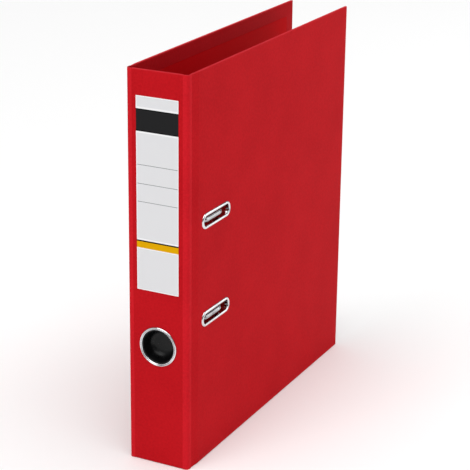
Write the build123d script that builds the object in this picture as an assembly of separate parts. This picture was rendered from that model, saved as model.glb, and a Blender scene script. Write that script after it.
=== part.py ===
from build123d import *
import math
import os

# Lever arch file, standing upright and closed.  Millimetres, +Z up.
# X runs across the thickness (front cover at +X), Y from the spine (-Y) to the
# fore edge (+Y).  The origin is under the middle of the closed file.

# ---- overall sizes ----
height = 318.0
depth = 285.0
thickness = 54.0

# ---- covers ----
board = 1.8
film = 0.2
turn_in = 12.0
seam = 0.3
hinge_radius = 5.5

# ---- spine fittings ----
label_width = 36.0
label_below_top = 20.0
label_above_ring = 28.8
label_thickness = 0.15
label_corner = 1.0
ring_height = 100.0
ring_radius = 16.2
ring_rim = 2.2
ring_proud = 1.0
ring_wall = 0.5
cup_wall = 1.0
cup_depth = 11.0

# ---- slots in the front cover ----
slot_length = 41.0
slot_height = 8.0
slot_from_spine = 43.5
eyelet_rim = 2.4
eyelet_proud = 0.9
eyelet_wall = 0.6

# ---- mechanism, measured from the spine's outer face and from the rear lining ----
hole_spacing = 80.0
plate_length = 124.0
plate_start = 9.0
plate_end = 67.0
plate_thickness = 1.0
plate_corner = 6.0
rod_radius = 2.0
rod_from_spine = 13.0
rod_up = 8.0
post_from_spine = 56.0
post_radius = 2.25
post_top = 37.0
tip_height = 0.8
tip_base_radius = 1.6
tip_end_radius = 0.5
collar_radius = 4.0
collar_height = 1.2
crown_start = 26.0
crown_proud = 0.2
crown_bend = 6.0
shoulder_bend = 8.0
foot_bend = 4.0

# ---- crank and lever ----
crank_arm = 12.0
crank_dip = 22.5
crank_half_length = 13.0
crank_bend = 3.0
lever_offset = 18.0
nose_length = 6.5
nose_angle = 45.0
lever_length = 50.0
lever_half_width = 5.6
sheet = 1.0
ear_sheet = 1.2
pivot_radius = 1.9
pivot_head_radius = 3.0
pivot_head = 0.7
roller_radius = 3.0
roller_length = 6.0
roller_pin_radius = 1.0
roller_head_radius = 1.6
grip_length = 20.0
grip_wall = 0.9

# ---- bearings, rivets, spring, compressor bar ----
lug_offset = 31.6
lug_half_width = 3.6
rivet_radius = 1.6
rivet_inner_head = 3.5
rivet_outer_head = 4.0
rivet_head_height = 1.2
rivet_outer_height = 0.7
rivet_inset = 6.5
spring_wire = 0.5
spring_turns = 6
spring_pitch = 1.3
bar_length = 100.0
bar_width = 18.0
bar_sheet = 0.8
bar_lip = 2.0

# ---- clearances ----
running = 0.05
seated = 0.15
roller_gap = 0.3
ear_gap = 0.8
bar_hole_gap = 0.2

# ---- derived ----
cover = board + 2 * film
spine_y = -depth / 2
hinge_y = spine_y + hinge_radius
fore_y = depth / 2
half = thickness / 2
mid_z = height / 2
spine_half = half - hinge_radius
inner_height = thickness - 2 * cover
crown_up = inner_height + cover + crown_proud - rod_radius
collar_inner = ring_radius - ring_rim
cup_radius = collar_inner - running
label_bottom = ring_height + ring_radius + label_above_ring
label_length = height - label_below_top - label_bottom
dip = math.radians(crank_dip)
nose = math.radians(nose_angle)
crank_u = rod_from_spine + crank_arm * math.cos(dip)
crank_v = rod_up - crank_arm * math.sin(dip)
lever_u = rod_from_spine + crank_arm * (1 + math.cos(dip)) / 2
roller_v = crank_v + rod_radius + roller_gap + roller_radius
pivot_v = roller_v + nose_length * math.cos(nose)
roller_z = lever_offset - nose_length * math.sin(nose)
crank_z = lever_offset - 5.0
inside = Pos(-half + cover, spine_y, mid_z)


def block(x0, x1, y0, y1, z0, z1):
    """Box between two corners."""
    size = Box(x1 - x0, y1 - y0, z1 - z0)
    return Pos((x0 + x1) / 2, (y0 + y1) / 2, (z0 + z1) / 2) * size


def leaf(side, c0, c1, y0, y1, z0, z1):
    """Slab of the front (+1) or rear (-1) cover, c measured in from its outer face."""
    xa = side * (half - c0)
    xb = side * (half - c1)
    return block(min(xa, xb), max(xa, xb), y0, y1, z0, z1)


def rod_x(radius, x0, x1, y, z):
    """Cylinder along X."""
    return Pos((x0 + x1) / 2, y, z) * Rot(0, 90, 0) * Cylinder(radius, x1 - x0)


def rod_y(radius, y0, y1, x, z):
    """Cylinder along Y."""
    return Pos(x, (y0 + y1) / 2, z) * Rot(90, 0, 0) * Cylinder(radius, y1 - y0)


def slot_x(length, width, x0, x1, y, z):
    """Round-ended bar along X whose long side lies along Y."""
    outline = Plane.YZ * Pos(y, z) * RectangleRounded(length, width, width / 2 - 0.01)
    return Pos(x0, 0, 0) * extrude(outline, x1 - x0)


def rounded_path(points, radii):
    """Polyline with a tangent arc of its own radius at every inner corner."""
    edges = []
    start = points[0]
    for before, corner, after, radius in zip(points, points[1:], points[2:], radii):
        back = (before - corner).normalized()
        ahead = (after - corner).normalized()
        half_angle = math.radians(back.get_angle(ahead)) / 2
        bisector = (back + ahead).normalized()
        reach = radius / math.tan(half_angle)
        centre = corner + bisector * (radius / math.sin(half_angle))
        arc_start = corner + back * reach
        arc_end = corner + ahead * reach
        edges.append(Edge.make_line(start, arc_start))
        edges.append(Edge.make_three_point_arc(arc_start, centre - bisector * radius, arc_end))
        start = arc_end
    edges.append(Edge.make_line(start, points[-1]))
    return Wire(edges)


def wire_solid(radius, path):
    """Round wire along a path."""
    section = Plane(origin=path @ 0, z_dir=path % 0) * Circle(radius)
    return sweep(section, path=path)


# ---- covers ----
def cover_board(side):
    return leaf(side, film, film + board, hinge_y, fore_y - film, film, height - film)


def cover_film(side):
    whole = leaf(side, 0, cover, hinge_y, fore_y, 0, height)
    core = leaf(side, film, film + board, hinge_y, fore_y - film, film, height - film)
    window = leaf(
        side, film + board, cover, hinge_y, fore_y - turn_in, turn_in, height - turn_in
    )
    return whole - core - window


def cover_lining(side):
    return leaf(
        side,
        film + board,
        cover,
        hinge_y,
        fore_y - turn_in - seam,
        turn_in + seam,
        height - turn_in - seam,
    )


def slot_centres():
    return [mid_z + hole_spacing / 2, mid_z - hole_spacing / 2]


def slot_cut(z):
    grown = 2 * (eyelet_wall + running)
    y = spine_y + slot_from_spine
    return slot_x(slot_length + grown, slot_height + grown, half - cover - 1, half + 1, y, z)


def with_slots(panel):
    for z in slot_centres():
        panel = panel - slot_cut(z)
    return panel


def slot_eyelet(z):
    y = spine_y + slot_from_spine
    wide = 2 * eyelet_rim
    wall = 2 * eyelet_wall
    outer_flange = slot_x(slot_length + wide, slot_height + wide, half, half + eyelet_proud, y, z)
    outer_flange = chamfer(outer_flange.faces().sort_by(Axis.X)[-1].edges(), eyelet_proud * 0.6)
    collar = slot_x(slot_length + wall, slot_height + wall, half - cover, half, y, z)
    inner_start = half - cover - 0.4
    inner_flange = slot_x(slot_length + wide, slot_height + wide, inner_start, half - cover, y, z)
    through = slot_x(slot_length, slot_height, inner_start - 1, half + eyelet_proud + 1, y, z)
    return outer_flange + collar + inner_flange - through


def rivet_places():
    low = plate_start + rivet_inset
    high = plate_end - rivet_inset
    reach = plate_length / 2 - rivet_inset
    return [(low, reach), (high, reach), (low, -reach), (high, -reach)]


def with_rivet_holes(panel):
    for u, w in rivet_places():
        hole = rod_x(rivet_radius + running, -cover - 1, plate_thickness + 1, u, w)
        panel = panel - inside * hole
    return panel


# ---- spine ----
def ring_axis_hole(radius):
    return rod_y(radius, spine_y - 3, spine_y + cup_depth + 3, 0, ring_height)


def spine_slab(c0, c1, z0, z1):
    return block(-spine_half, spine_half, spine_y + c0, spine_y + c1, z0, z1)


def spine_board():
    slab = spine_slab(film, film + board, film, height - film)
    return slab - ring_axis_hole(collar_inner + ring_wall + running)


def spine_film():
    whole = spine_slab(0, cover, 0, height)
    core = spine_slab(film, film + board, film, height - film)
    window = spine_slab(film + board, cover, turn_in, height - turn_in)
    return whole - core - window - ring_axis_hole(collar_inner + ring_wall + running)


def spine_lining():
    slab = spine_slab(film + board, cover, turn_in + seam, height - turn_in - seam)
    return slab - ring_axis_hole(collar_inner + ring_wall + running)


def hinge_film(side):
    """Bonded outer film and lining bent round the corner between spine and cover."""
    centre = Pos(side * spine_half, hinge_y)
    band = Circle(hinge_radius) - Circle(hinge_radius - 2 * film)
    corner = Pos(side * hinge_radius / 2, -hinge_radius / 2) * Rectangle(hinge_radius, hinge_radius)
    return extrude(centre * (band & corner), height)


def spine_label():
    z = label_bottom + label_length / 2
    outline = Plane.XZ * Pos(0, z) * RectangleRounded(label_width, label_length, label_corner)
    return Pos(0, spine_y, 0) * extrude(outline, label_thickness)


def finger_ring():
    flange = rod_y(ring_radius, spine_y - ring_proud, spine_y, 0, ring_height)
    flange = fillet(flange.faces().sort_by(Axis.Y)[0].edges(), ring_proud * 0.7)
    sleeve = rod_y(collar_inner + ring_wall, spine_y, spine_y + cover, 0, ring_height)
    back = rod_y(ring_radius, spine_y + cover, spine_y + cover + 0.6, 0, ring_height)
    return flange + sleeve + back - ring_axis_hole(collar_inner)


def finger_cup():
    front = spine_y - ring_proud * 0.4
    body = rod_y(cup_radius, front, spine_y + cup_depth, 0, ring_height)
    body = fillet(body.faces().sort_by(Axis.Y)[-1].edges(), 3.0)
    hollow = rod_y(cup_radius - cup_wall, front - 1, spine_y + cup_depth - cup_wall, 0, ring_height)
    hollow = fillet(hollow.faces().sort_by(Axis.Y)[-1].edges(), 2.5)
    return body - hollow


# ---- mechanism: x is height over the rear lining, y distance from the spine, z from the middle ----
def ear(side):
    start = lever_half_width + ear_gap
    u0 = lever_u + side * start
    u1 = lever_u + side * (start + ear_sheet)
    low = min(u0, u1)
    high = max(u0, u1)
    top = rod_y(pivot_head_radius + 0.8, low, high, pivot_v, lever_offset)
    foot = block(0, pivot_v, low, high, lever_offset - 5.0, lever_offset + 4.5)
    tongue = foot & block(0, pivot_v, low, high, lever_offset - 3.8, lever_offset + 3.8)
    skirt = foot & block(0, pivot_v / 2, low, high, lever_offset - 5.0, lever_offset + 4.5)
    hole = rod_y(pivot_radius, low - 1, high + 1, pivot_v, lever_offset)
    return top + tongue + skirt - hole


def lug(side):
    centre = side * lug_offset
    z0 = centre - ear_sheet / 2
    z1 = centre + ear_sheet / 2
    low = rod_from_spine - lug_half_width
    high = rod_from_spine + lug_half_width
    foot = block(0, rod_up, low, high, z0, z1)
    top = Pos(rod_up, rod_from_spine, centre) * Cylinder(lug_half_width, ear_sheet)
    hole = Pos(rod_up, rod_from_spine, centre) * Cylinder(rod_radius + running, ear_sheet + 1)
    return foot + top - hole


def base_plate():
    width = plate_end - plate_start
    middle = (plate_start + plate_end) / 2
    outline = Plane.YZ * Pos(middle, 0) * RectangleRounded(width, plate_length, plate_corner)
    sheet_metal = extrude(outline, plate_thickness)
    plate = sheet_metal + ear(1) + ear(-1) + lug(1) + lug(-1)
    return with_rivet_holes(inside * plate)


def rivet(u, w):
    shank = rod_x(rivet_radius, -cover, plate_thickness, u, w)
    top = rod_x(rivet_inner_head, plate_thickness, plate_thickness + rivet_head_height, u, w)
    top = fillet(top.faces().sort_by(Axis.X)[-1].edges(), rivet_head_height * 0.8)
    back = rod_x(rivet_outer_head, -cover - rivet_outer_height, -cover, u, w)
    back = chamfer(back.faces().sort_by(Axis.X)[0].edges(), rivet_outer_height * 0.5)
    return inside * (shank + top + back)


def tip(lift):
    """Pointed end of a post, lifted by a clearance."""
    cone = Cone(tip_base_radius, tip_end_radius, tip_height)
    return Pos(post_top + lift + tip_height / 2, post_from_spine, 0) * Rot(0, 90, 0) * cone


def post(w):
    shaft = rod_x(post_radius, plate_thickness, post_top, post_from_spine, 0)
    collar_top = plate_thickness + collar_height
    collar = rod_x(collar_radius, plate_thickness, collar_top, post_from_spine, 0)
    return inside * Pos(0, 0, w) * (shaft + collar + tip(0))


def arch_bow():
    """Both arches, their shaft and its crank, bent from one wire."""
    reach = hole_spacing / 2
    crank_low = crank_z - crank_half_length
    crank_high = crank_z + crank_half_length
    end = post_top + seated
    side = [(end, post_from_spine), (crown_up, post_from_spine), (crown_up, crown_start)]
    points = [Vector(v, u, reach) for v, u in side]
    points.append(Vector(rod_up, rod_from_spine, reach))
    points.append(Vector(rod_up, rod_from_spine, crank_high))
    points.append(Vector(crank_v, crank_u, crank_high))
    points.append(Vector(crank_v, crank_u, crank_low))
    points.append(Vector(rod_up, rod_from_spine, crank_low))
    points.append(Vector(rod_up, rod_from_spine, -reach))
    points.extend(Vector(v, u, -reach) for v, u in reversed(side))
    bends = [crown_bend, shoulder_bend, foot_bend]
    radii = bends + [crank_bend] * 4 + list(reversed(bends))
    bow = wire_solid(rod_radius, rounded_path(points, radii))
    for w in (reach, -reach):
        bow = bow - Pos(0, 0, w) * (tip(seated) + rod_x(tip_base_radius, end - 1, end, post_from_spine, 0))
    return inside * bow


def cheek(face):
    """Lever side view (x is height, y distance from the middle) as wide as the lever."""
    upright = Plane(origin=(0, 0, 0), x_dir=(1, 0, 0), z_dir=(0, -1, 0))
    solid = extrude(upright * face, 2 * lever_half_width, dir=(0, -1, 0))
    return Pos(0, lever_u + lever_half_width, 0) * solid


def lever_side():
    pin_end = cheek(Pos(pivot_v, lever_offset) * Circle(4.0))
    nose_end = cheek(Pos(roller_v, roller_z) * Circle(2.9))
    throat = Polygon(
        (pivot_v + 3.0, lever_offset - 1.0),
        (pivot_v - 2.8, lever_offset + 2.8),
        (roller_v - 2.0, roller_z + 2.0),
        (roller_v + 1.0, roller_z - 2.7),
        (pivot_v + 0.5, lever_offset - 14.0),
        align=None,
    )
    arm = Polygon(
        (pivot_v + 4.0, lever_offset),
        (pivot_v + 4.0, lever_offset - lever_length),
        (pivot_v + 1.0, lever_offset - lever_length),
        (pivot_v + 0.5, lever_offset - 14.0),
        (pivot_v, lever_offset),
        align=None,
    )
    return pin_end + nose_end + cheek(throat) + cheek(arm)


def lever():
    inner = lever_half_width - sheet
    u0 = lever_u - inner
    u1 = lever_u + inner
    web = pivot_v + 4.0 - sheet
    gap = block(0, web, u0, u1, -plate_length, lever_offset + 10)
    near = block(0, pivot_v + 10, u0, u1, lever_offset - 3.0, lever_offset + 10)
    low = lever_u - lever_half_width - 1
    high = lever_u + lever_half_width + 1
    pin_hole = rod_y(pivot_radius + running, low, high, pivot_v, lever_offset)
    roller_hole = rod_y(roller_pin_radius, low, high, roller_v, roller_z)
    return inside * (lever_side() - gap - near - pin_hole - roller_hole)


def lever_grip():
    inner = lever_half_width - sheet
    z0 = lever_offset - lever_length - grip_wall - 2.0
    z1 = z0 + grip_length
    low = lever_u - lever_half_width - grip_wall
    high = lever_u + lever_half_width + grip_wall
    shell = block(pivot_v - 0.5, pivot_v + 4.0 + grip_wall, low, high, z0, z1)
    shell = fillet(shell.edges().filter_by(Axis.Z), 1.2)
    shell = fillet(shell.faces().sort_by(Axis.Z)[0].edges(), 1.0)
    side_start = lever_u - lever_half_width - running
    side_end = lever_u + lever_half_width + running
    sleeve_end = lever_offset - lever_length - running
    pocket = block(pivot_v - 1, pivot_v + 4.0 + running, side_start, side_end, sleeve_end, z1 + 1)
    core = block(
        pivot_v - 0.5,
        pivot_v + 4.0 - sheet - running,
        lever_u - inner + running,
        lever_u + inner - running,
        z0 + 1.5,
        z1,
    )
    return inside * (shell - pocket + core)


def lever_pivot(side):
    cheek_inner = lever_half_width - sheet - running
    ear_outer = lever_half_width + ear_gap + ear_sheet
    stations = [cheek_inner - pivot_head, cheek_inner, ear_outer, ear_outer + pivot_head]
    u = [lever_u + side * s for s in stations]
    inner_head = rod_y(pivot_head_radius, min(u[0], u[1]), max(u[0], u[1]), pivot_v, lever_offset)
    shank = rod_y(pivot_radius, min(u[0], u[3]), max(u[0], u[3]), pivot_v, lever_offset)
    outer_head = rod_y(pivot_head_radius, min(u[2], u[3]), max(u[2], u[3]), pivot_v, lever_offset)
    return inside * (inner_head + shank + outer_head)


def lever_roller():
    low = lever_u - roller_length / 2
    high = lever_u + roller_length / 2
    body = rod_y(roller_radius, low, high, roller_v, roller_z)
    bore = rod_y(roller_pin_radius + running, low - 1, high + 1, roller_v, roller_z)
    return inside * (body - bore)


def roller_pin():
    head_start = lever_half_width
    head_end = lever_half_width + ear_gap / 2
    shank = rod_y(roller_pin_radius, lever_u - head_end, lever_u + head_end, roller_v, roller_z)
    low = rod_y(roller_head_radius, lever_u - head_end, lever_u - head_start, roller_v, roller_z)
    high = rod_y(roller_head_radius, lever_u + head_start, lever_u + head_end, roller_v, roller_z)
    return inside * (shank + low + high)


def arch_spring():
    """Torsion spring round the arch shaft, one leg on the plate, one under the crank."""
    coil_radius = rod_radius + 0.3 + spring_wire
    start = crank_z - crank_half_length - rod_radius - 4.0 - spring_turns * spring_pitch
    end = start + spring_turns * spring_pitch
    helix = Helix(spring_pitch, end - start, coil_radius, lefthand=True)
    coil = wire_solid(spring_wire, helix)
    coil = Pos(rod_up, rod_from_spine, start) * Rot(0, 0, 180) * coil
    bottom = rod_up - coil_radius
    floor = plate_thickness + spring_wire
    under_arm = rod_up - 3.0 * math.tan(dip) - rod_radius / math.cos(dip) - spring_wire - running
    plate_leg = Wire([
        Edge.make_line((bottom, rod_from_spine + spring_wire, start), (floor, rod_from_spine - 3.0, start)),
    ])
    arm_leg = rounded_path(
        [
            Vector(bottom, rod_from_spine - spring_wire, end),
            Vector(under_arm, rod_from_spine + 3.0, end),
            Vector(under_arm, rod_from_spine + 3.0, crank_z - crank_half_length + rod_radius),
        ],
        [1.0],
    )
    return inside * (coil + wire_solid(spring_wire, plate_leg) + wire_solid(spring_wire, arm_leg))


def compressor_bar():
    floor = plate_thickness + collar_height + running
    low = post_from_spine - bar_width / 2
    high = post_from_spine + bar_width / 2
    sheet_metal = block(floor, floor + bar_sheet, low, high, -bar_length / 2, bar_length / 2)
    near_lip = block(floor, floor + bar_lip, low, low + bar_sheet, -bar_length / 2, bar_length / 2)
    far_lip = block(floor, floor + bar_lip, high - bar_sheet, high, -bar_length / 2, bar_length / 2)
    bar = sheet_metal + near_lip + far_lip
    for w in (hole_spacing / 2, -hole_spacing / 2):
        bar = bar - rod_x(post_radius + bar_hole_gap, floor - 1, floor + 5, post_from_spine, w)
    return inside * bar


def build():
    upper = hole_spacing / 2
    parts = {
        "front_board": with_slots(cover_board(1)),
        "front_cover_film": with_slots(cover_film(1)),
        "front_lining": with_slots(cover_lining(1)),
        "upper_slot_eyelet": slot_eyelet(mid_z + upper),
        "lower_slot_eyelet": slot_eyelet(mid_z - upper),
        "spine_board": spine_board(),
        "spine_film": spine_film(),
        "spine_lining": spine_lining(),
        "spine_label": spine_label(),
        "finger_ring": finger_ring(),
        "finger_cup": finger_cup(),
        "front_hinge_film": hinge_film(1),
        "rear_hinge_film": hinge_film(-1),
        "rear_board": with_rivet_holes(cover_board(-1)),
        "rear_cover_film": with_rivet_holes(cover_film(-1)),
        "rear_lining": with_rivet_holes(cover_lining(-1)),
        "base_plate": base_plate(),
        "upper_post": post(upper),
        "lower_post": post(-upper),
        "arch_bow": arch_bow(),
        "arch_spring": arch_spring(),
        "lever": lever(),
        "lever_grip": lever_grip(),
        "spine_side_pivot": lever_pivot(-1),
        "post_side_pivot": lever_pivot(1),
        "lever_roller": lever_roller(),
        "roller_pin": roller_pin(),
        "compressor_bar": compressor_bar(),
    }
    corners = ["upper_spine_rivet", "upper_fore_rivet", "lower_spine_rivet", "lower_fore_rivet"]
    for name, (u, w) in zip(corners, rivet_places()):
        parts[name] = rivet(u, w)
    return parts


os.makedirs("parts", exist_ok=True)
for name, shape in build().items():
    export_step(shape, f"parts/{name}.step")
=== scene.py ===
"""Lever arch file: the skins, rims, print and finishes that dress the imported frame.

Every size is in millimetres unless its name says otherwise, and MM turns it to metres.
Axes: X from the rear cover (-) to the front cover (+), Y from the spine (-) to the
fore edge (+), Z up from the floor.
"""

import logging
import math
from collections.abc import Callable, Iterable
from dataclasses import dataclass, field
from enum import Enum

import bmesh
import bpy
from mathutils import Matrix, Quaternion, Vector


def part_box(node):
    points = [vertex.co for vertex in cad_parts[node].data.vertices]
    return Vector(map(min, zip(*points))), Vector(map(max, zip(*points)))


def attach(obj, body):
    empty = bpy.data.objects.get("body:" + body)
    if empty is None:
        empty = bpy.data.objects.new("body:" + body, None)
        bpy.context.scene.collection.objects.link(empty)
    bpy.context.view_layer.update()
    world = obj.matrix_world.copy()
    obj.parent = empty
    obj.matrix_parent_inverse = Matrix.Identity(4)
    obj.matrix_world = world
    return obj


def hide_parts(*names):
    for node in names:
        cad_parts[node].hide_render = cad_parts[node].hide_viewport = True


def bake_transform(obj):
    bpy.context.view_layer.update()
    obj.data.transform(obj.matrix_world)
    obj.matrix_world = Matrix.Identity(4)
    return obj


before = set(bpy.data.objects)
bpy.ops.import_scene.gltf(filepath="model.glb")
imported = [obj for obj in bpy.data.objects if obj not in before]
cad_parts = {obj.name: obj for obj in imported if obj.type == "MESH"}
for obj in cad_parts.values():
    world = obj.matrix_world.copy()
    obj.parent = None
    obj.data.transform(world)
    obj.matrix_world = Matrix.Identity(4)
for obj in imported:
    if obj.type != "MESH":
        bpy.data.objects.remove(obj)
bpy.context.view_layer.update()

MM = 0.001
TIP_RADIUS = 0.04  # of the small ring that a turned shape is closed from
EVEN = (1.0, 1.0, 1.0)
NEARLY = 0.99  # share of a length or a direction that counts as the whole of it
log = logging.getLogger("lever_arch_file")
Piece = bpy.types.Object


# ---------------------------------------------------------------- colour and nodes
def linear(hex_colour: str, alpha: float = 1.0) -> tuple[float, float, float, float]:
    """Turn an sRGB hex colour into linear light.

    Args:
        hex_colour: Six hex digits, with or without a leading hash.
        alpha: Value of the fourth channel.

    Returns:
        Red, green, blue and alpha, each from 0 to 1.
    """
    digits = hex_colour.lstrip("#")
    channels = []
    for start in (0, 2, 4):
        value = int(digits[start : start + 2], 16) / 255
        channels.append(value / 12.92 if value <= 0.04045 else ((value + 0.055) / 1.055) ** 2.4)
    return channels[0], channels[1], channels[2], alpha


class Graph:
    """A material's node tree, with the one function that adds a node to it."""

    def __init__(self, name: str) -> None:
        """Make an empty material of that name with a Principled shader.

        Args:
            name: The material's name.
        """
        self.material = bpy.data.materials.new(name)
        self.material.use_nodes = True
        self.tree = self.material.node_tree
        self.tree.nodes.clear()
        self.shader = self.add("ShaderNodeBsdfPrincipled")
        output = self.add("ShaderNodeOutputMaterial")
        self.tree.links.new(self.shader.outputs["BSDF"], output.inputs["Surface"])

    def add(self, kind: str, settings: dict | None = None, **inputs: object) -> bpy.types.Node:
        """Add a node with its settings, socket values and links.

        Args:
            kind: The node's Blender type.
            settings: Attributes to set on the node.
            **inputs: Socket name, with _ for a space, or i and a number, to a value or
                to an output socket that is linked to it.

        Returns:
            The new node.
        """
        node = self.tree.nodes.new(kind)
        for key, value in (settings or {}).items():
            setattr(node, key, value)
        self.fill(node, inputs)
        return node

    def fill(self, node: bpy.types.Node, inputs: dict) -> None:
        """Set or link sockets of a node.

        Args:
            node: The node.
            inputs: The sockets, named as add says, with their values or output sockets.
        """
        for key, value in inputs.items():
            numbered = key[0] == "i" and key[1:].isdigit()
            socket = node.inputs[int(key[1:]) if numbered else key.replace("_", " ")]
            if isinstance(value, bpy.types.NodeSocket):
                self.tree.links.new(value, socket)
            else:
                socket.default_value = value

    def set(self, **inputs: object) -> None:
        """Set or link sockets of the Principled shader, named as add says."""
        self.fill(self.shader, inputs)

    def ramp(self, factor: object, stops: Iterable[tuple]) -> object:
        """Add a colour ramp.

        Args:
            factor: Output socket that drives it.
            stops: Pairs of position and hex colour, in rising order.

        Returns:
            The colour's output socket.
        """
        node = self.add("ShaderNodeValToRGB", i0=factor)
        elements = node.color_ramp.elements
        for index, (position, colour) in enumerate(stops):
            element = elements[index] if index < 2 else elements.new(position)
            element.position = position
            element.color = linear(colour)
        return node.outputs["Color"]

    def place(self, scale_mm: float, stretch: tuple = EVEN) -> object:
        """Object coordinates in which one unit is one repeat of a pattern.

        Args:
            scale_mm: Real size of one repeat.
            stretch: How many times longer the pattern is along each axis.

        Returns:
            The vector output socket.
        """
        source = self.add("ShaderNodeTexCoord").outputs["Object"]
        scale = tuple(1 / (scale_mm * MM * part) for part in stretch)
        return self.add("ShaderNodeMapping", Vector=source, Scale=scale).outputs["Vector"]

    def noise(
        self, scale_mm: float, detail: float, stretch: tuple = EVEN, bend: float = 0.0
    ) -> object:
        """Add a noise pattern of a real size.

        Args:
            scale_mm: Real size of one repeat.
            detail: How many finer layers it has.
            stretch: How many times longer the pattern is along each axis.
            bend: How far it is distorted.

        Returns:
            The pattern's output socket, from 0 to 1.
        """
        place = self.place(scale_mm, stretch)
        sockets = {"Vector": place, "Scale": 1.0, "Detail": detail, "Distortion": bend}
        return self.add("ShaderNodeTexNoise", **sockets).outputs["Fac"]

    def remap(self, value: object, source: tuple, target: tuple) -> object:
        """Take a value from one range to another, each low then high, held at both ends."""
        ends = dict(zip(("i1", "i2", "i3", "i4"), (*source, *target)))
        return self.add("ShaderNodeMapRange", i0=value, **ends).outputs[0]

    def reckon(self, operation: str, first: object, second: object = 0.0) -> object:
        """Sum, multiply or compare two values, each a number or an output socket."""
        node = self.add("ShaderNodeMath", {"operation": operation}, i0=first, i1=second)
        return node.outputs[0]

    def mix(self, share: object, under: object, over: object) -> object:
        """Lay one colour over another, by the share of the upper one that shows."""
        node = self.add("ShaderNodeMix", {"data_type": "RGBA"}, i0=share, i6=under, i7=over)
        return node.outputs[2]

    def bump(self, height: object, strength: float, depth_mm: float) -> object:
        """Turn the surface by a relief that runs from 0 to 1 and is really depth_mm deep."""
        sockets = {"Height": height, "Strength": strength, "Distance": depth_mm * MM}
        return self.add("ShaderNodeBump", **sockets).outputs[0]

    def axes(self) -> object:
        """The three Object coordinates, in metres."""
        source = self.add("ShaderNodeTexCoord").outputs["Object"]
        return self.add("ShaderNodeSeparateXYZ", Vector=source).outputs


# ---------------------------------------------------------------- finishes
@dataclass(frozen=True)
class Finish:
    """What every finish has: a material name and a way to make it."""

    name: str

    def build(self, graph: Graph) -> None:
        """Fill the material's node tree."""
        raise NotImplementedError

    def material(self) -> bpy.types.Material:
        """Make the material once and share it after that.

        Returns:
            The finished material.
        """
        found = bpy.data.materials.get(self.name)
        if found is None:
            graph = Graph(self.name)
            self.build(graph)
            found = graph.material
        return found


@dataclass(frozen=True)
class SatinFilm(Finish):
    """Embossed polypropylene film glued over board.

    Gives the eye: a strong flat colour with next to no highlight, a fine pebble grain,
    faint clouds and mottle from the board below, and paler edges where the film folds
    over, which are a painted highlight.
    """

    colour: str = "C31921"
    shade: str = "B7151D"
    # paler colour painted on the folded edges as a highlight, not wear
    edge_highlight_colour: str = "D0404A"
    roughness: float = 0.42
    sheen: float = 0.008
    grain_mm: float = 0.55
    grain_height_mm: float = 0.012
    cloud_mm: float = 38.0
    mottle_mm: float = 1.9
    mottle_share: float = 0.6
    patch_mm: float = 7.0
    # how strongly that painted edge highlight shows
    edge_highlight_share: float = 0.45
    height: float = 318.0
    fore_edge: float = 142.5
    fold: float = 0.75

    def painted_edge_highlight(self, graph: Graph) -> object:
        """Painted highlight, how much paler the film is painted: most where it folds over the
        boards' free edges.

        Args:
            graph: The material's node tree.

        Returns:
            The output socket, from 0 to the wear.
        """
        axes = graph.axes()
        middle = self.height / 2
        away = graph.reckon("ABSOLUTE", graph.reckon("SUBTRACT", axes["Z"], middle * MM))
        # paler bands painted along the top, bottom and fore edges: a painted highlight
        highlight_bands = []
        for place, end in ((away, middle), (axes["Y"], self.fore_edge)):
            rise = ((end - self.fold) * MM, (end - self.fold / 3) * MM)
            highlight_bands.append(graph.remap(place, rise, (0.0, self.edge_highlight_share)))
        patchy = graph.remap(graph.noise(self.patch_mm, 3.0), (0.3, 0.7), (0.5, 1.0))
        return graph.reckon("MULTIPLY", graph.reckon("MAXIMUM", *highlight_bands), patchy)

    def build(self, graph: Graph) -> None:
        """Fill the node tree.

        Args:
            graph: The material's node tree.
        """
        cloud = graph.noise(self.cloud_mm, 3.0)
        # embossed grain of about half a millimetre, the roller pattern of such film
        grain = graph.add(
            "ShaderNodeTexVoronoi",
            {"feature": "SMOOTH_F1"},
            Vector=graph.place(self.grain_mm),
            Scale=1.0,
            Smoothness=0.8,
        )
        fine = graph.noise(self.grain_mm * 2.2, 2.0)
        # the print of the board's fibres through the film, drawn coarser to show
        mottle = graph.noise(self.mottle_mm, 2.0)
        uneven = graph.add(
            "ShaderNodeMix", {"data_type": "FLOAT"}, i0=self.mottle_share, i2=cloud, i3=mottle
        )
        tone = graph.ramp(uneven.outputs[0], [(0.38, self.shade), (0.62, self.colour)])
        relief = graph.reckon("ADD", grain.outputs["Distance"], fine)
        graph.set(
            # the paler edge colour mixed in here is a painted highlight
            Base_Color=graph.mix(self.painted_edge_highlight(graph), tone, linear(self.edge_highlight_colour)),
            Roughness=graph.remap(fine, (0.3, 0.7), (self.roughness - 0.05, self.roughness + 0.06)),
            Normal=graph.bump(relief, 0.5, self.grain_height_mm),
            IOR=1.49,
            Specular_IOR_Level=self.sheen,
        )


@dataclass(frozen=True)
class GreyBoard(Finish):
    """Pressed greyboard, made of recycled fibre.

    Gives the eye: a dull warm grey with darker and paler flecks of fibre and no gloss.
    """

    base: str = "8F8A80"
    fleck: str = "6B665E"
    pale: str = "B2ADA2"
    fibre_mm: float = 1.4

    def build(self, graph: Graph) -> None:
        """Fill the node tree.

        Args:
            graph: The material's node tree.
        """
        fibre = graph.noise(self.fibre_mm, 4.0, (1.0, 1.0, 3.0), 0.6)
        stops = [(0.36, self.fleck), (0.5, self.base), (0.66, self.pale)]
        tone = graph.ramp(fibre, stops)
        graph.set(Base_Color=tone, Roughness=0.92, Normal=graph.bump(fibre, 0.6, 0.05))


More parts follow.
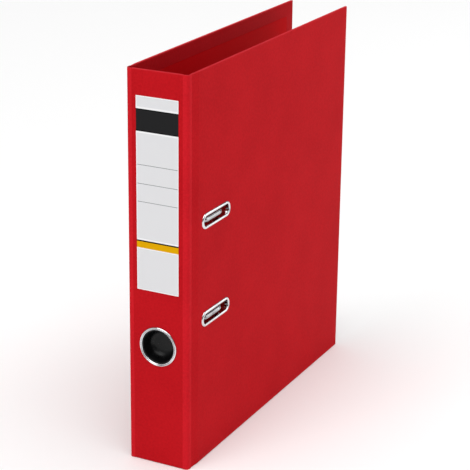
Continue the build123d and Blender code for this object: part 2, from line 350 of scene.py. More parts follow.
@dataclass(frozen=True)
class PlatedSteel(Finish):
    """Steel under bright or satin plating.

    Gives the eye: sharp light and dark reflections on the bright rims and wire, and a
    greyer, softer sheen with fine drawing lines on the pressed plates.
    """

    colour: str = "E4E6E8"
    dull: str = "CBCDD0"
    roughness: float = 0.09
    line_mm: float = 0.25
    line_stretch: tuple = EVEN
    line_height_mm: float = 0.002
    smear_mm: float = 6.0

    def build(self, graph: Graph) -> None:
        """Fill the node tree.

        Args:
            graph: The material's node tree.
        """
        smear = graph.noise(self.smear_mm, 3.0)
        lines = graph.noise(self.line_mm, 2.0, self.line_stretch)
        graph.set(
            Base_Color=graph.ramp(smear, [(0.3, self.dull), (0.7, self.colour)]),
            Metallic=1.0,
            Roughness=graph.remap(
                smear, (0.3, 0.7), (self.roughness * 1.35, self.roughness * 0.85)
            ),
            Normal=graph.bump(lines, 0.5, self.line_height_mm),
        )


@dataclass(frozen=True)
class GlossPlastic(Finish):
    """Black ABS, injection moulded.

    Gives the eye: deep black with sharp highlights, or soft ones where the mould is
    grained, a slight waviness that bends them, and a few dull finger marks.
    """

    colour: str = "070708"
    worn: str = "101011"
    roughness: float = 0.08
    gloss: float = 0.4
    wave_mm: float = 3.5
    mark_mm: float = 9.0

    def build(self, graph: Graph) -> None:
        """Fill the node tree.

        Args:
            graph: The material's node tree.
        """
        wave = graph.noise(self.wave_mm, 1.0)
        mark = graph.noise(self.mark_mm, 4.0)
        graph.set(
            Base_Color=graph.ramp(mark, [(0.4, self.colour), (0.75, self.worn)]),
            Roughness=graph.remap(mark, (0.4, 0.75), (self.roughness, self.roughness + 0.14)),
            Normal=graph.bump(wave, 0.35, 0.02),
            IOR=1.54,
            Specular_IOR_Level=self.gloss,
        )


@dataclass(frozen=True)
class Band:
    """One printed band of the label, from its lower edge up to the next band's."""

    z: float
    colour: str
    bleeds: bool = False


@dataclass(frozen=True)
class PrintedLabel(Finish):
    """Coated label paper with offset print.

    Gives the eye: clean bands with sharp edges, a pale grey writing field inside a
    narrow white margin, and a faint fibre under a soft satin coating.
    """

    bottom: float = 145.0
    top: float = 298.0
    half_width: float = 18.0
    margin: float = 0.75
    paper: str = "F3F3F4"
    field: str = "E2E2E4"
    rule: str = "74767A"
    ink: str = "0D0D0E"
    panel: str = "242425"
    stripe: str = "E2A800"

    stripe_z: tuple = (179.1, 184.1)
    line_over_stripe: float = 1.1
    panel_z: tuple = (271.6, 287.3)
    line_by_panel: float = 0.8
    rules_z: tuple = (215.9, 230.1, 244.9)
    rule_width: float = 0.4
    gap: float = 1.4
    gap_under_stripe: float = 0.9
    gap_over_panel: float = 2.4

    def bands(self) -> list[Band]:
        """List the print from bottom to top, each band by its lower edge.

        Returns:
            The bands.
        """
        foot, top = self.stripe_z
        rows = [Band(self.bottom, self.paper), Band(self.bottom + self.margin, self.field)]
        rows += [Band(foot - self.gap_under_stripe, self.paper), Band(foot, self.stripe, True)]
        line = top + self.line_over_stripe
        rows += [Band(top, self.ink, True), Band(line, self.paper)]
        rows += [Band(line + self.gap, self.field)]
        for height in self.rules_z:
            half = self.rule_width / 2
            rows += [Band(height - half, self.rule), Band(height + half, self.field)]
        foot, top = self.panel_z
        line = foot - self.line_by_panel
        rows += [Band(line - self.gap, self.paper), Band(line, self.ink, True)]
        rows += [Band(foot, self.panel, True), Band(top, self.ink, True)]
        rows += [Band(top + self.line_by_panel, self.paper)]
        rows += [Band(top + self.gap_over_panel, self.field)]
        rows += [Band(self.top - self.margin, self.paper)]
        return rows

    def stack(self, graph: Graph, height: object, rows: list[tuple[float, str]]) -> object:
        """Lay flat bands of colour over each other, each from its lower edge up.

        Args:
            graph: The material's node tree.
            height: Output socket with the height in metres.
            rows: Lower edge in mm and hex colour of each band, from the bottom.

        Returns:
            The colour's output socket.
        """
        under, last = linear(self.paper), self.paper
        for place, colour in rows:
            if colour == last:
                continue
            under = graph.mix(
                graph.reckon("GREATER_THAN", height, place * MM), under, linear(colour)
            )
            last = colour
        return under

    def build(self, graph: Graph) -> None:
        """Fill the node tree.

        Args:
            graph: The material's node tree.
        """
        axes = graph.axes()
        across = graph.reckon("ABSOLUTE", axes["X"])
        edge = graph.reckon("GREATER_THAN", across, (self.half_width - self.margin) * MM)
        inside = [(band.z, band.colour) for band in self.bands()]
        # only the bands that bleed cross the white margin
        margin = [(band.z, band.colour if band.bleeds else self.paper) for band in self.bands()]
        prints = [self.stack(graph, axes["Z"], rows) for rows in (inside, margin)]
        fibre = graph.noise(0.8, 3.0, (1.0, 1.0, 2.0))
        graph.set(
            Base_Color=graph.mix(edge, *prints),
            Roughness=0.42,
            Normal=graph.bump(fibre, 0.3, 0.01),
            IOR=1.5,
            Specular_IOR_Level=0.03,
        )


@dataclass(frozen=True)
class StudioPaper(Finish):
    """Seamless background paper.

    Gives the eye: an even pale ground with only a breath of tooth.
    """

    colour: str = "FBFBFB"

    def build(self, graph: Graph) -> None:
        """Fill the material's node tree."""
        tooth = graph.bump(graph.noise(6.0, 2.0), 0.1, 0.05)
        graph.set(Base_Color=linear(self.colour), Roughness=0.9, Normal=tooth)


class Look(Enum):
    """The finishes of the file, by the part of it that they cover."""

    COVER = SatinFilm("embossed_polypropylene_film")
    # the same film as the cover's, painted lighter as a highlight for the light that the bent
    # crease catches
    HINGE = SatinFilm("creased_film_painted_lighter", colour="D2202A", shade="C51C25")
    LINING = SatinFilm(
        "smooth_polypropylene_lining",
        colour="CE0C14",
        shade="C80A12",
        roughness=0.45,
        grain_height_mm=0.006,
        # no painted edge highlight on the lining
        edge_highlight_share=0.0,
    )
    BOARD = GreyBoard("pressed_greyboard")
    BRIGHT = PlatedSteel("bright_chromium_plate")
    SATIN = PlatedSteel(
        "satin_nickel_plate",
        colour="C6C4BE",
        dull="A9A7A1",
        roughness=0.26,
        line_stretch=(1.0, 1.0, 14.0),
        line_height_mm=0.006,
    )
    CROWN = PlatedSteel("bright_nickel_wire", colour="B9BABC", dull="8F9092", roughness=0.13)
    WIRE = PlatedSteel("drawn_spring_steel", colour="A8A8A6", dull="8C8C8A", roughness=0.3)
    GLOSS = GlossPlastic("gloss_moulded_abs")
    BOWL = GlossPlastic(
        "fine_grained_abs", colour="0A0A0B", worn="101011", roughness=0.27, gloss=0.2
    )
    LABEL = PrintedLabel("printed_label_paper")
    GROUND = StudioPaper("seamless_background_paper")


# ---------------------------------------------------------------- modelling tools
class Bench:
    """One mesh object on the bench, worked in edit mode and then given to a body."""

    def __init__(self, name: str) -> None:
        """Take the object that was just added, and name it.

        Args:
            name: The piece's name.
        """
        self.piece = bpy.context.active_object
        self.piece.name = name
        self.piece.data.name = name

    @classmethod
    def block(cls, name: str, low: Vector, high: Vector) -> "Bench":
        """Start from a cube that fills a box, both corners in metres.

        Args:
            name: The piece's name.
            low: Lowest corner.
            high: Highest corner.

        Returns:
            The bench with the cube on it.
        """
        bpy.ops.object.select_all(action="DESELECT")
        bpy.ops.mesh.primitive_cube_add(size=1.0, location=(low + high) / 2)
        bench = cls(name)
        bench.piece.scale = high - low
        return bench.settle()

    def settle(self) -> "Bench":
        """Put the object's place, turn and size into its mesh."""
        bpy.ops.object.transform_apply(location=True, rotation=True, scale=True)
        return self

    def hold(self) -> None:
        """Select the piece alone and make it the active one."""
        bpy.ops.object.select_all(action="DESELECT")
        self.piece.select_set(True)
        bpy.context.view_layer.objects.active = self.piece

    def edit(self, mode: str = "VERT", everything: bool = False) -> bmesh.types.BMesh:
        """Enter edit mode.

        Args:
            mode: Kind of element that is selected.
            everything: Start with all of it selected, where it is else nothing.

        Returns:
            The edit mesh.
        """
        if self.piece.mode != "EDIT":
            self.hold()
            bpy.ops.object.mode_set(mode="EDIT")
        bpy.ops.mesh.select_mode(type=mode)
        bpy.ops.mesh.select_all(action="SELECT" if everything else "DESELECT")
        return bmesh.from_edit_mesh(self.piece.data)

    def pick(self, mode: str, test: Callable[[object], bool]) -> None:
        """Select the elements that pass a test.

        Args:
            mode: VERT, EDGE or FACE.
            test: Takes an element and says whether it is wanted.
        """
        mesh = self.edit(mode)
        pool = {"VERT": mesh.verts, "EDGE": mesh.edges, "FACE": mesh.faces}[mode]
        for element in [element for element in pool if test(element)]:
            element.select_set(True)
        mesh.select_flush_mode()
        bmesh.update_edit_mesh(self.piece.data)

    def slice(self, point: Vector, normal: Vector) -> None:
        """Add edges to the whole mesh where the plane through a point crosses it."""
        self.edit("FACE", everything=True)
        bpy.ops.mesh.bisect(plane_co=point, plane_no=normal)

    def done(self) -> "Bench":
        """Merge doubles, turn the faces outwards and leave edit mode.

        Returns:
            This bench.
        """
        self.edit(everything=True)
        bpy.ops.mesh.remove_doubles(threshold=0.002 * MM)
        bpy.ops.mesh.normals_make_consistent(inside=False)
        bpy.ops.object.mode_set(mode="OBJECT")
        return self

    def copy(self, name: str, offset: Vector) -> "Bench":
        """Copy the piece with a mesh of its own, and move the copy.

        Args:
            name: The copy's name.
            offset: How far it moves, in metres.

        Returns:
            The copy's bench.
        """
        twin = self.piece.copy()
        twin.data = self.piece.data.copy()
        bpy.context.scene.collection.objects.link(twin)
        bpy.context.view_layer.objects.active = twin
        bench = Bench(name)
        bench.edit(everything=True)
        bpy.ops.transform.translate(value=offset)
        bpy.ops.object.mode_set(mode="OBJECT")
        return bench

    def modifier(self, kind: str, **settings: object) -> "Bench":
        """Add a modifier and apply it.

        Args:
            kind: The modifier's Blender type.
            **settings: Its attributes.

        Returns:
            This bench.
        """
        self.hold()
        added = self.piece.modifiers.new(kind.lower(), kind)
        for key, value in settings.items():
            setattr(added, key, value)
        bpy.ops.object.modifier_apply(modifier=added.name)
        return self

    def cut(self, *cutters: "Bench") -> "Bench":
        """Take other shapes away from this one, and remove them.

        Args:
            *cutters: Closed shapes.

        Returns:
            This bench.
        """
        for cutter in cutters:
            self.modifier("BOOLEAN", operation="DIFFERENCE", solver="EXACT", object=cutter.piece)
            bpy.data.objects.remove(cutter.piece)
        return self

    def smooth(self, angle: float = 35.0, flat_faces: bool = False) -> "Bench":
        """Shade smooth except across edges sharper than an angle.

        Args:
            angle: That angle in degrees.
            flat_faces: Keep large faces flat and let the rounded edges take the turn.

        Returns:
            This bench.
        """
        self.hold()
        bpy.ops.object.shade_smooth_by_angle(angle=math.radians(angle))
        if flat_faces:
            self.modifier("WEIGHTED_NORMAL", weight=100, keep_sharp=True)
        return self

    def dress(self, look: Look, slot: str, *replaced: str) -> Piece:
        """Give the piece its finish and hide the CAD nodes that it stands for.

        Args:
            look: The finish.
            slot: Not used.
            *replaced: The CAD nodes that it replaces.

        Returns:
            The finished piece.
        """
        self.piece.data.materials.clear()
        self.piece.data.materials.append(look.value.material())
        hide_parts(*replaced)
        bpy.ops.object.select_all(action="DESELECT")
        return self.piece


@dataclass(frozen=True)
class Lathe:
    """Turns a closed profile about an axis: a ring of edges, extruded, sized and moved."""

    centre: Vector
    axis: Vector
    count: int = 128
    pole: float = 0.06

    def turn(self, name: str, profile: list[tuple[float, float]]) -> Bench:
        """Turn a profile. A point nearer the axis than the pole size becomes a pole.

        Args:
            name: The piece's name.
            profile: Pairs of radius and place along the axis, in mm, round the section.

        Returns:
            The bench with the turned shape on it.
        """
        radius, place = profile[0]
        angles = Vector((0, 0, 1)).rotation_difference(self.axis).to_euler()
        start = self.centre + self.axis * (place * MM)
        bpy.ops.object.select_all(action="DESELECT")
        bpy.ops.mesh.primitive_circle_add(
            vertices=self.count, radius=radius * MM, location=start, rotation=tuple(angles)
        )
        bench = Bench(name).settle()
        bench.edit("EDGE", everything=True)
        for next_radius, next_place in [*profile[1:], profile[0]]:
            bpy.ops.mesh.extrude_edges_move(
                TRANSFORM_OT_translate={"value": self.axis * ((next_place - place) * MM)}
            )
            if next_radius != radius:
                self.resize(next_radius / radius, start)
            radius, place = next_radius, next_place
        bench.done()
        for radius, place in profile:
            if radius < self.pole:
                self.close_pole(bench, self.centre + self.axis * (place * MM))
        return bench

    def close_pole(self, bench: Bench, pole: Vector) -> None:
        """Draw the small ring round the axis together to one point.

        Args:
            bench: The turned shape.
            pole: Where the axis leaves the shape, in metres.
        """
        bench.pick("VERT", lambda vert: (vert.co - pole).length < self.pole * MM)
        bpy.ops.mesh.merge(type="CENTER")
        bench.edit(everything=True)
        bpy.ops.mesh.delete_loose(use_verts=True, use_edges=True, use_faces=False)
        bpy.ops.object.mode_set(mode="OBJECT")

    def resize(self, factor: float, centre: Vector) -> None:
        """Size what is selected about the axis, from a centre that lies on it."""
        across = [1.0 if abs(part) > 0.5 else factor for part in self.axis]
        bpy.ops.transform.resize(value=across, center_override=centre)


def arc(radius: float, steps: int, start: float, end: float, centre: tuple) -> list[tuple]:
    """Points of an arc in a section, from one angle to another in degrees, both ends with them."""
    angles = [math.radians(start + (end - start) * i / steps) for i in range(steps + 1)]
    return [(centre[0] + radius * math.cos(a), centre[1] + radius * math.sin(a)) for a in angles]


# ---------------------------------------------------------------- studio
@dataclass
class Studio:
    """Camera, ground, soft lights and an even pale surround."""

    azimuth: float = 26.91
    elevation: float = 19.53
    roll: float = 0.67
    distance: float = 1.373
    target: Vector = field(default_factory=lambda: Vector((-0.0057, -0.0025, 0.1471)))
    lens_mm: float = 125.9
    sensor_mm: float = 36.0
    floor_m: float = 40.0
    surround: str = "FFFFFF"
    surround_light: float = 0.2
    surround_seen: float = 1.0
    overhead_power: float = 2.45
    key_power: float = 8.5
    fill_power: float = 10.0

    def camera(self) -> None:
        """Stand the camera off the near corner of the spine."""
        turn, rise = math.radians(self.azimuth), math.radians(self.elevation)
        back = Vector(
            (math.sin(turn) * math.cos(rise), -math.cos(turn) * math.cos(rise), math.sin(rise))
        )
        data = bpy.data.cameras.new("studio_camera")
        data.lens = self.lens_mm
        data.sensor_width = self.sensor_mm
        camera = bpy.data.objects.new("studio_camera", data)
        bpy.context.scene.collection.objects.link(camera)
        camera.location = self.target + back * self.distance
        camera.rotation_mode = "QUATERNION"
        level = (-back).to_track_quat("-Z", "Y")
        camera.rotation_quaternion = level @ Quaternion((0, 0, 1), math.radians(self.roll))
        bpy.context.scene.camera = camera

    def ground(self) -> None:
        """Lay a wide flat sheet of background paper."""
        bpy.ops.object.select_all(action="DESELECT")
        bpy.ops.mesh.primitive_plane_add(size=self.floor_m, location=(0, 0, -0.0003))
        sheet = bpy.context.active_object
        sheet.name = "studio_floor"
        sheet.data.materials.append(Look.GROUND.value.material())
        bpy.ops.object.transform_apply(location=True)
        sheet.select_set(False)

    def lamp(self, name: str, place: Vector, size: tuple, power: float) -> None:
        """Hang one soft light that faces the middle of the file.

        Args:
            name: The light's name.
            place: Where it hangs, in metres.
            size: Its width and height in metres.
            power: Its power in watts.
        """
        data = bpy.data.lights.new(name, "AREA")
        data.shape = "RECTANGLE"
        data.size, data.size_y = size
        data.energy = power
        light = bpy.data.objects.new(name, data)
        light.location = place
        light.rotation_mode = "QUATERNION"
        light.rotation_quaternion = (self.target - place).to_track_quat("-Z", "Y")
        bpy.context.scene.collection.objects.link(light)

    def overhead(self) -> None:
        """Light the whole ground evenly from above, as a wide diffuser does."""
        data = bpy.data.lights.new("overhead_diffuser", "SUN")
        data.energy = self.overhead_power
        data.angle = math.radians(70)
        light = bpy.data.objects.new("overhead_diffuser", data)
        light.rotation_euler = (math.radians(12), math.radians(5), 0)
        bpy.context.scene.collection.objects.link(light)

    def lights(self) -> None:
        """Even light from above, a key on the spine and a fill on the front cover."""
        self.overhead()
        self.lamp("key_softbox", Vector((-0.5, -1.9, 1.2)), (1.2, 1.2), self.key_power)
        self.lamp("fill_softbox", Vector((1.45, 1.35, 0.8)), (1.4, 1.4), self.fill_power)

    def surroundings(self) -> None:
        """Even pale light from all round."""
        world = bpy.data.worlds.new("pale_surround")
        world.use_nodes = True
        nodes, links = world.node_tree.nodes, world.node_tree.links
        mix = nodes.new("ShaderNodeMixShader")
        links.new(nodes.new("ShaderNodeLightPath").outputs["Is Camera Ray"], mix.inputs[0])
        for index, strength in enumerate((self.surround_light, self.surround_seen)):
            light = nodes.new("ShaderNodeBackground")
            light.inputs["Color"].default_value = linear(self.surround)
            light.inputs["Strength"].default_value = strength
            links.new(light.outputs[0], mix.inputs[index + 1])
        links.new(mix.outputs[0], nodes["World Output"].inputs["Surface"])
        bpy.context.scene.world = world
        bpy.context.scene.view_settings.view_transform = "Standard"

    def build(self) -> None:
        """Set up the whole studio, camera first."""
        self.camera()
        self.ground()
        self.lights()
        self.surroundings()
        log.info("studio: camera, ground and three soft lights")


# ---------------------------------------------------------------- covers
@dataclass(frozen=True)
class Slab:
    """A film-covered board: its CAD film, its inner face and where it meets a crease."""

    node: str
    inner: int  # sign of the inner face along the thin axis
    open_axis: int  # axis along which the board's edges meet a crease
    open_signs: tuple  # signs of those edges

    def shape(self) -> tuple[Vector, Vector, int]:
        """Measure the film's box.

        Returns:
            Its middle, half its size, and the axis along which it is thin.
        """
        low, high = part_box(self.node)
        reach = (high - low) / 2
        return (low + high) / 2, reach, min(range(3), key=lambda axis: reach[axis])


@dataclass
class CoverSkins:
    """The glued film over the two covers, the spine and the two creases between them."""

    edge_radius: float = 0.55
    edge_steps: int = 3
    turn_in: float = 12.0
    film: float = 0.2
    window_depth: float = 0.15
    tuck: float = 0.04
    dip: float = 0.8
    depth: float = 1.1
    strip: float = 9.5
    strip_turn: float = 0.6
    bend_radius: float = 2.4
    bend_steps: int = 10
    rows: int = 12
    slot_nodes: tuple = ("upper_slot_eyelet", "lower_slot_eyelet")
    eyelet_rim: float = 2.4
    collar: float = 0.65
    slot_cut: tuple = (20.0, 32.0)  # places along X
    ring_rim: float = 2.2
    sleeve: float = 0.55
    ring_cut: tuple = (-5.0, 9.0)  # places along Y from the spine's outer face

    def panel(self, name: str, slab: Slab) -> Bench:
        """Model a slab, rounded where the film folds over and recessed for the lining.

        Args:
            name: The piece's name.
            slab: The board.

        Returns:
            The bench with the slab on it.
        """
        low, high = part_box(slab.node)
        middle, reach, _ = slab.shape()
        for sign in slab.open_signs:  # the slab's raw end covers the board's end
            end = high if sign > 0 else low
            end[slab.open_axis] += sign * self.tuck * MM
        bench = Bench.block(name, low, high)
        axis = slab.open_axis
        limit = reach[axis] * NEARLY

        def folded(edge: bmesh.types.BMEdge) -> bool:
            """Say whether the film folds over this edge, so that it isn't at a crease."""
            ends = [vert.co[axis] - middle[axis] for vert in edge.verts]
            return not any(min(end * sign for end in ends) > limit for sign in slab.open_signs)

        bench.pick("EDGE", folded)
        bpy.ops.mesh.bevel(
            offset=self.edge_radius * MM, segments=self.edge_steps, affect="EDGES", profile=0.5
        )
        self.recess(bench, slab)
        return bench

    def recess(self, bench: Bench, slab: Slab) -> None:
        """Sink the inner face where the lining lies, to the turned-in film's edge.

        Args:
            bench: The slab's mesh.
            slab: The board.
        """
        middle, reach, thin = slab.shape()
        lines = []
        for axis in {slab.open_axis, 2}:
            for sign in (-1, 1):
                if axis != slab.open_axis or sign not in slab.open_signs:
                    lines.append((axis, middle[axis] + sign * (reach[axis] - self.turn_in * MM)))
        for axis, place in lines:
            point = middle.copy()
            point[axis] = place
            normal = Vector((0, 0, 0))
            normal[axis] = 1.0
            bench.slice(point, normal)
        limits = {axis: [-math.inf, math.inf] for axis in (slab.open_axis, 2)}
        for axis, place in lines:
            limits[axis][0 if place < middle[axis] else 1] = place

        def window(face: bmesh.types.BMFace) -> bool:
            """Say whether a face is part of the inner face that the lining covers."""
            centre, inward = face.calc_center_median(), face.normal[thin] * slab.inner
            return inward > NEARLY and all(a < centre[i] < b for i, (a, b) in limits.items())

        bench.pick("FACE", window)
        sink = Vector((0, 0, 0))
        sink[thin] = -slab.inner * self.window_depth * MM
        bpy.ops.mesh.extrude_region_move(TRANSFORM_OT_translate={"value": sink})

    def plug(self, lathe: Lathe, radius: float, ends: tuple) -> Bench:
        """Turn a closed round bar that cuts a hole.

        Args:
            lathe: The axis that it is turned about.
            radius: Its radius.
            ends: Its two ends along that axis.

        Returns:
            The bench with the bar on it.
        """
        near_end, far_end = ends
        profile = [(radius, near_end), (TIP_RADIUS, near_end), (TIP_RADIUS, far_end)]
        return lathe.turn("cutter", [*profile, (radius, far_end)])

    def slot_cutter(self, node: str) -> Bench:
        """Round-ended bar a little wider than a slot rim's collar.

        Args:
            node: The CAD rim of the slot.

        Returns:
            The bench with the closed bar on it.
        """
        low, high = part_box(node)
        middle = (low + high) / 2
        radius = (high.z - low.z) / 2 / MM - self.eyelet_rim + self.collar
        straight = (high.y - low.y) / 2 - (high.z - low.z) / 2
        lathe = Lathe(Vector((0.0, middle.y, middle.z)), Vector((1, 0, 0)), 64)
        return stretched(self.plug(lathe, radius, self.slot_cut), middle.y, straight)

    def cover(self, body: str, slab: Slab, board: str, slots: tuple = ()) -> Piece:
        """Model a cover's film over its board, with the slots cut through it.

        Args:
            body: The cover's body, which names the piece too.
            slab: Its film.
            board: The CAD board that the film encloses.
            slots: The CAD rims of its slots.

        Returns:
            The finished piece.
        """
        bench = self.panel(f"{body}_skin", slab)
        self.lean(bench, slab)
        bench.done().cut(*(self.slot_cutter(node) for node in slots)).smooth(flat_faces=True)
        piece = bench.dress(Look.COVER, "red_film", slab.node, board)
        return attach(piece, body)

    def lean(self, bench: Bench, slab: Slab) -> None:
        """Slope the strip beside the crease, where the film dips off the board.

        Args:
            bench: The cover's mesh.
            slab: The cover's film.
        """
        low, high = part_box(slab.node)
        side = -slab.inner  # sign of the outer face along X
        outer = max(side * low.x, side * high.x)
        for place in (self.strip, self.strip - self.strip_turn):
            bench.slice(Vector((0, low.y + place * MM, 0)), Vector((0, 1, 0)))

        def free(vert: bmesh.types.BMVert) -> bool:
            """Say whether a vertex is on the outer side of the crease's edge."""
            return vert.co.y < low.y + 0.01 * MM and side * vert.co.x > outer - self.depth * MM

        bench.pick("VERT", free)
        bpy.ops.transform.translate(value=(-side * self.dip * MM, 0, 0))

    def spine(self) -> Piece:
        """Spine's film with the hole for the finger ring.

        Returns:
            The finished piece.
        """
        bench = self.panel("spine_skin", Slab("spine_film", 1, 0, (-1, 1))).done()
        low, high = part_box("finger_ring")
        radius = (high.z - low.z) / 2 / MM - self.ring_rim + self.sleeve
        lathe = Lathe(Vector((0.0, low.y, (low.z + high.z) / 2)), Vector((0, 1, 0)), 96)
        bench.cut(self.plug(lathe, radius, self.ring_cut)).smooth(flat_faces=True)
        piece = bench.dress(Look.COVER, "red_film", "spine_film")
        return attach(piece, "spine")

    def crease(self, name: str, node: str, side: int) -> Piece:
        """Bend film round one corner, from the spine board's end to the cover's.

        Args:
            name: The piece's name.
            node: The CAD hinge film.
            side: +1 for the front cover's side, -1 for the rear's.

        Returns:
            The finished piece.
        """
        low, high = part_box(node)
        board_end = Vector((low.x if side > 0 else high.x, low.y))
        cover_end = Vector((high.x if side > 0 else low.x, high.y)) - Vector(
            (side * self.dip * MM, 0)
        )
        line = self.crease_line(board_end, cover_end, side)
        first = line[1] - line[0]
        bpy.ops.object.select_all(action="DESELECT")
        bpy.ops.mesh.primitive_plane_add(size=1.0, rotation=(math.pi / 2, 0, 0))
        bench = Bench(name)
        bench.piece.scale = (abs(first.x), high.z - low.z, 1.0)
        middle = (line[0] + line[1]) / 2
        bench.piece.location = (middle.x, middle.y, (low.z + high.z) / 2)
        bench.settle()
        for row in range(1, self.rows):
            height = low.z + (high.z - low.z) * row / self.rows
            bench.slice(Vector((0, 0, height)), Vector((0, 0, 1)))
        bench.pick("EDGE", lambda edge: all(near(vert, line[1]) for vert in edge.verts))
        for before, after in zip(line[1:], line[2:]):
            step = after - before
            bpy.ops.mesh.extrude_edges_move(
                TRANSFORM_OT_translate={"value": (step.x, step.y, 0)}
            )
        self.face_out(bench, side)
        bench.modifier("SOLIDIFY", thickness=2 * self.film * MM, offset=-1, use_even_offset=True)
        # the crease gets the cover's film painted lighter, a painted highlight
        piece = bench.smooth(50.0).dress(Look.HINGE, "red_film", node)
        ends = [Vector((*board_end, 0.0)), Vector((*cover_end, 0.0))]
        if side < 0:  # this film starts on the rear cover and ends on the spine
            ends.reverse()
        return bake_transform(piece)

    def crease_line(self, board_end: Vector, cover_end: Vector, side: int) -> list[Vector]:
        """Outer line of the bent film: flat off the spine, a tight bend, then the cover.

        Args:
            board_end: Where it leaves the spine board, X and Y in metres.
            cover_end: Where it meets the cover.
            side: +1 for the front cover's side, -1 for the rear's.

        Returns:
            Its points in order.
        """
        radius = self.bend_radius * MM
        centre = Vector((cover_end.x - side * radius, board_end.y + radius))
        line = [board_end.copy()]
        for index in range(self.bend_steps + 1):
            turn = math.pi / 2 * index / self.bend_steps
            line.append(
                centre + Vector((side * math.sin(turn) * radius, -math.cos(turn) * radius))
            )
        line.append((line[-1] + cover_end) / 2)
        line.append(cover_end.copy())
        return line

    def face_out(self, bench: Bench, side: int) -> None:
        """Turn the bent film's faces away from the file's middle.

        Args:
            bench: The bent film.
            side: +1 for the front cover's side, -1 for the rear's.
        """
        bench.edit("FACE", everything=True)
        bpy.ops.mesh.normals_make_consistent(inside=False)
        mesh = bmesh.from_edit_mesh(bench.piece.data)
        outward = sum(face.normal.x * side - face.normal.y for face in mesh.faces)
        if outward < 0:
            bpy.ops.mesh.flip_normals()
        bpy.ops.object.mode_set(mode="OBJECT")

    def build(self) -> list[Piece]:
        """Make every skin.

        Returns:
            The finished pieces.
        """
        front = Slab("front_cover_film", -1, 1, (-1,))
        rear = Slab("rear_cover_film", 1, 1, (-1,))
        pieces = [
            self.cover("front_cover", front, "front_board", self.slot_nodes),
            self.cover("rear_cover", rear, "rear_board"),
            self.spine(),
            self.crease("front_hinge_skin", "front_hinge_film", 1),
            self.crease("rear_hinge_skin", "rear_hinge_film", -1),
        ]
        dress_node("spine_board", Look.BOARD)
        for node in ("front_lining", "rear_lining", "spine_lining"):
            dress_node(node, Look.LINING)
        return pieces


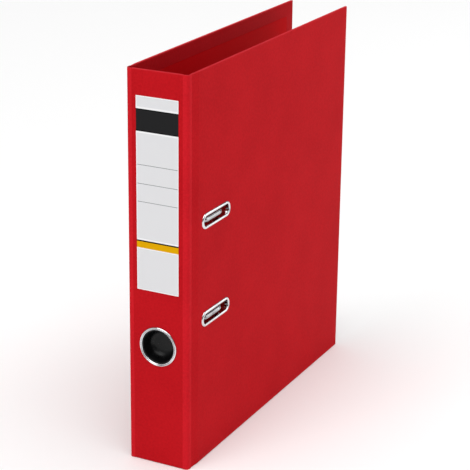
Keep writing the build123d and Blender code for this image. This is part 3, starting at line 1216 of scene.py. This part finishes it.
# ---------------------------------------------------------------- fittings
@dataclass
class Fittings:
    """Slot rims, finger ring, cup and label."""

    slot_inner: float = 4.0
    slot_rim: float = 2.4
    slot_proud: float = 0.9
    slot_wall: float = 0.6
    slot_flange: float = 0.4
    cover: float = 2.2
    ring_inner: float = 14.0
    ring_outer: float = 16.2
    ring_wall: float = 0.5
    ring_flange: float = 0.6
    cup_wall: float = 1.0
    cup_lip: float = 0.45
    cup_corner: float = 3.0
    lip_depth: float = 0.7
    cup_fullness: float = 0.4
    label_corner: float = 0.3
    label_edge: float = 0.05

    def slot_profile(self, half: float) -> list[tuple[float, float]]:
        """Section of a pressed rim: rolled lip outside, clinched flange inside.

        Args:
            half: The cover's outer face, in mm along X.

        Returns:
            Pairs of radius and x.
        """
        inner, outer = self.slot_inner, self.slot_inner + self.slot_rim
        crest = half + self.slot_proud
        back = half - self.cover
        lip = [(inner, half + 0.1), (inner + 0.08, half + 0.42), (inner + 0.32, half + 0.7)]
        lip += [(inner + 0.72, crest - 0.04), (inner + 1.15, crest), (inner + 1.6, crest - 0.08)]
        lip += [(inner + 2.02, half + 0.58), (inner + 2.28, half + 0.3), (outer, half)]
        wall, end = inner + self.slot_wall, back - self.slot_flange
        clinch = [(wall, half), (wall, back), (outer, back), (outer, back - self.slot_flange * 0.5)]
        clinch += [(outer - 0.2, end), (inner + 0.2, end), (inner, end + 0.2)]
        return lip + clinch

    def slot_rims(self) -> list[Piece]:
        """Model the upper rim once and copy it for the lower slot.

        Returns:
            The two rims.
        """
        low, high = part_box("upper_slot_eyelet")
        middle = (low + high) / 2
        straight = (high.y - low.y) / 2 - (high.z - low.z) / 2
        half = high.x / MM - self.slot_proud
        lathe = Lathe(Vector((0.0, middle.y, middle.z)), Vector((1, 0, 0)), 72)
        bench = lathe.turn("upper_slot_rim", self.slot_profile(half))
        upper = stretched(bench, middle.y, straight).smooth(40.0)
        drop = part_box("lower_slot_eyelet")[0].z - low.z
        lower = upper.copy("lower_slot_rim", Vector((0, 0, drop)))
        pieces = []
        for rim, node in ((upper, "upper_slot_eyelet"), (lower, "lower_slot_eyelet")):
            dressed = rim.dress(Look.BRIGHT, "chrome_steel", node)
            pieces.append(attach(dressed, "front_cover"))
        return pieces

    def ring(self) -> Piece:
        """Finger ring: rolled outer bead, a groove, a raised inner lip and its sleeve.

        Returns:
            The finished piece.
        """
        low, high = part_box("finger_ring")
        lathe = Lathe(Vector((0.0, 0.0, (low.z + high.z) / 2)), Vector((0, 1, 0)), 128)
        front = low.y / MM
        face = front + 1.0
        back = high.y / MM
        inner, outer = self.ring_inner, self.ring_outer
        sleeve = inner + self.ring_wall
        lip = [(0, 0.55), (0.08, 0.32), (0.28, 0.16), (0.5, 0.12), (0.68, 0.22)]
        groove = [(0.78, 0.75), (0.95, 0.78)]
        bead = [(1.06, 0.22), (1.26, 0.04), (1.5, 0), (1.78, 0.08), (2.02, 0.3), (2.16, 0.62)]
        profile = [
            (inner, back - 0.2),
            *[(inner + out, front + deep) for out, deep in lip + groove + bead],
            *[(outer, face), (sleeve, face), (sleeve, back - self.ring_flange)],
            *[(outer, back - self.ring_flange), (outer, back - 0.2)],
            *[(outer - 0.2, back), (inner + 0.2, back)],
        ]
        bench = lathe.turn("finger_ring_rim", profile).smooth(50.0)
        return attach(bench.dress(Look.BRIGHT, "chrome_steel", "finger_ring"), "spine")

    def cup(self) -> Piece:
        """Moulded finger cup: rounded mouth and a smooth bowl for the fingertip.

        Returns:
            The finished piece.
        """
        low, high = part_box("finger_cup")
        lathe = Lathe(Vector((0.0, 0.0, (low.z + high.z) / 2)), Vector((0, 1, 0)), 128)
        front, back = low.y / MM, high.y / MM
        outer = (high.z - low.z) / 2 / MM
        inner = outer - self.cup_wall
        lip, corner = self.cup_lip, self.cup_corner
        mouth = arc(lip, 5, 0, -180, (outer - lip, front + lip))
        floor = back - self.cup_wall
        start = front + self.lip_depth
        bowl = [
            (
                inner * math.cos(math.radians(angle)) ** self.cup_fullness,
                start + (floor - start) * math.sin(math.radians(angle)),
            )
            for angle in range(0, 90, 5)
        ]
        shell = arc(corner, 8, 90, 0, (outer - corner, back - corner))
        profile = [*mouth, *bowl, (TIP_RADIUS, floor), (TIP_RADIUS, back), *shell]
        bench = lathe.turn("finger_cup_shell", profile).smooth(50.0)
        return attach(bench.dress(Look.BOWL, "black_plastic", "finger_cup"), "spine")

    def label(self) -> Piece:
        """Stuck-on label with rounded corners and a softened edge.

        Returns:
            The finished piece.
        """
        low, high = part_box("spine_label")
        bench = Bench.block("printed_label", low, high)
        bench.pick("EDGE", lambda edge: abs(edge.verts[0].co.y - edge.verts[1].co.y) > 0.1 * MM)
        bpy.ops.mesh.bevel(offset=self.label_corner * MM, segments=3, affect="EDGES")
        bench.pick("FACE", lambda face: face.normal.y < -NEARLY)
        bpy.ops.mesh.bevel(offset=self.label_edge * MM, segments=2, affect="EDGES")
        bench.done().smooth(flat_faces=True)
        piece = bench.dress(Look.LABEL, "label_paper", "spine_label")
        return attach(piece, "spine")

    def build(self) -> list[Piece]:
        """Make every fitting."""
        return [*self.slot_rims(), self.ring(), self.cup(), self.label()]


def near(vert: bmesh.types.BMVert, place: Vector) -> bool:
    """Say whether a vertex stands over a place on the floor."""
    return (Vector((vert.co.x, vert.co.y)) - place).length < 0.02 * MM


def stretched(bench: Bench, middle: float, straight: float) -> Bench:
    """Pull the two halves of a turned shape apart along Y, so it gets straight sides.

    Args:
        bench: The turned shape, with no vertex at its middle.
        middle: Its middle along Y, in metres.
        straight: Half the length of the straight sides, in metres.

    Returns:
        The same bench.
    """
    for sign in (-1, 1):
        bench.pick("VERT", lambda vert, sign=sign: (vert.co.y - middle) * sign > 0)
        bpy.ops.transform.translate(value=(0, sign * straight, 0))
    bpy.ops.object.mode_set(mode="OBJECT")
    return bench


# ---------------------------------------------------------------- mechanism
RIVETED = ("upper_spine", "upper_fore", "lower_spine", "lower_fore")


@dataclass
class Mechanism:
    """The lever arch mechanism, whose CAD nodes keep their shapes and get finishes."""

    crowns: tuple = ("arch_bow", "upper_post", "lower_post")
    plates: tuple = ("base_plate", "compressor_bar", "lever", "lever_roller", "roller_pin")
    pivots: tuple = ("spine_side_pivot", "post_side_pivot")
    rivets: tuple = tuple(f"{end}_rivet" for end in RIVETED)
    spring: tuple = ("arch_spring",)
    grip: tuple = ("lever_grip",)

    def build(self) -> list[Piece]:
        """Dress every node of the mechanism.

        Returns:
            The nodes' objects.
        """
        looks = {
            Look.CROWN: self.crowns,
            Look.SATIN: self.plates + self.pivots + self.rivets,
            Look.WIRE: self.spring,
            Look.GLOSS: self.grip,
        }
        return [dress_node(node, look) for look, nodes in looks.items() for node in nodes]


def dress_node(node: str, look: Look) -> Piece:
    """Give a CAD node a finish and leave its mesh alone.

    Args:
        node: The node's name.
        look: The finish.

    Returns:
        The node's object.
    """
    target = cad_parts[node]
    material = look.value.material()
    for index in range(len(target.material_slots)):
        target.material_slots[index].material = material
    return target


def main() -> None:
    """Build the studio, then every sub-assembly."""
    logging.basicConfig(level=logging.INFO, format="%(name)s: %(message)s", force=True)
    Studio().build()
    for assembly in (CoverSkins(), Fittings(), Mechanism()):
        for piece in assembly.build():
            faces = len(piece.data.polygons)
            log.info("%s: %s, %d faces", type(assembly).__name__, piece.name, faces)


if __name__ == "__main__":
    main()
